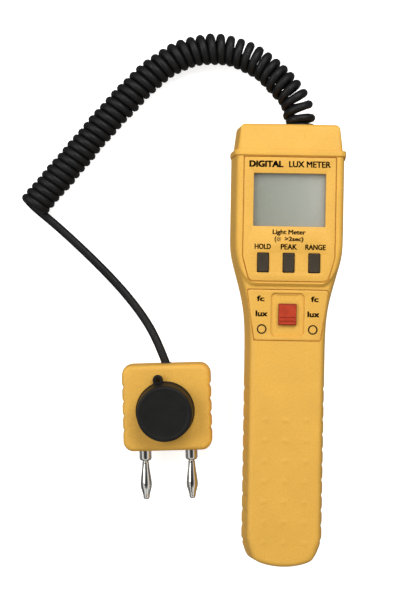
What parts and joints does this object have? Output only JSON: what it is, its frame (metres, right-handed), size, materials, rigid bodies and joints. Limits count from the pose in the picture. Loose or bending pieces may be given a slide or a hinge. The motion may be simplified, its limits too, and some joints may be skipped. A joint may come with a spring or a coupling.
{
  "type": "light meter",
  "caption": "Hand-held light meter with a display, keys and a slide switch, and a separate capped sensor head with banana plugs on a curly cord.",
  "frame": {"origin": "on the meter's rear face, at the middle of the case's length and width", "axes": "+Y from the grip to the head along the case, +Z out of the front face with the display, +X to the right seen from the front"},
  "size_m": [0.1328, 0.219, 0.0302],
  "materials": {
    "yellow_case": "fine moulded texture",
    "black_rubber": "satin",
    "black_plastic": "matte",
    "panel_film": "satin film with black lettering",
    "clear_window": "clear",
    "display_cell": "grey-green reflective",
    "white_plastic": "satin",
    "strip_rubber": "matte",
    "board_laminate": "solder mask",
    "component_black": "matte",
    "trimmer_blue": "gloss",
    "capacitor_sleeve": "sleeve",
    "switch_metal": "tinned",
    "key_grey": "matte",
    "knob_red": "satin",
    "screw_steel": "plated",
    "battery_case": "printed metal sleeve",
    "snap_vinyl": "vinyl",
    "wire_insulation": "gloss",
    "foam": "open foam",
    "diffuser_white": "opal",
    "filter_green": "polished",
    "diode_metal": "plated",
    "plug_chrome": "polished",
    "nut_brass": "plain"
  },
  "bodies": {
    "meter": {"front_shell": "yellow_case", "rear_shell": "yellow_case", "end_cap": "yellow_case", "cord_grommet": "black_rubber", "cord_coil": "black_rubber", "inner_lead": "black_rubber", "display_label": "panel_film", "switch_label": "panel_film", "lcd_window": "clear_window", "lcd_glass": "display_cell", "lcd_frame": "white_plastic", "contact_strips": "strip_rubber", "main_board": "board_laminate", "meter_chip": "component_black", "trimmers": "trimmer_blue", "capacitors": "capacitor_sleeve", "lead_connector": "white_plastic", "tact_switches": "component_black", "slide_switch": "switch_metal", "board_screws": "screw_steel", "case_screws": "screw_steel", "battery": "battery_case", "battery_snap": "snap_vinyl", "battery_leads": "wire_insulation", "battery_foam": "foam", "cord_clamp": "component_black"},
    "hold_key": {"button_hold": "key_grey"},
    "peak_key": {"button_peak": "key_grey"},
    "range_key": {"button_range": "key_grey"},
    "mode_knob": {"switch_knob": "knob_red"},
    "battery_cover": {"battery_door": "yellow_case"},
    "sensor_head": {"sensor_front_shell": "yellow_case", "sensor_rear_shell": "yellow_case", "sensor_screws": "screw_steel", "sensor_collar": "black_plastic", "diffuser_dome": "diffuser_white", "optical_filter": "filter_green", "photodiode": "diode_metal", "sensor_board": "board_laminate", "sensor_wires": "wire_insulation", "plug_left": "plug_chrome", "plug_right": "plug_chrome", "plug_spring_left": "plug_chrome", "plug_spring_right": "plug_chrome", "plug_nuts": "nut_brass", "sensor_bushing": "black_rubber", "cord_tail": "black_rubber"},
    "lens_cover": {"lens_cap": "black_plastic"}
  },
  "joints": [
    {"name": "hold_press", "type": "slide", "parent": "meter", "child": "hold_key", "axis": [0, 0, -1], "range_m": [0, 0.0007], "stiffness_N_per_m": 400},
    {"name": "peak_press", "type": "slide", "parent": "meter", "child": "peak_key", "axis": [0, 0, -1], "range_m": [0, 0.0007], "stiffness_N_per_m": 400},
    {"name": "range_press", "type": "slide", "parent": "meter", "child": "range_key", "axis": [0, 0, -1], "range_m": [0, 0.0007], "stiffness_N_per_m": 400},
    {"name": "mode_slide", "type": "slide", "parent": "meter", "child": "mode_knob", "axis": [0, 1, 0], "range_m": [-0.003, 0.003]},
    {"name": "door_slide", "type": "slide", "parent": "meter", "child": "battery_cover", "axis": [0, -1, 0], "range_m": [0, 0.058]},
    {"name": "sensor_swing", "type": "hinge", "parent": "meter", "child": "sensor_head", "pos_m": [-0.0733, 0.02735, 0.00195], "axis": [0, 0, 1], "range_deg": [-25, 8], "deforming": ["cord_tail"]},
    {"name": "cap_lift", "type": "slide", "parent": "sensor_head", "child": "lens_cover", "axis": [0, 0, 1], "range_m": [0, 0.012]}
  ]
}
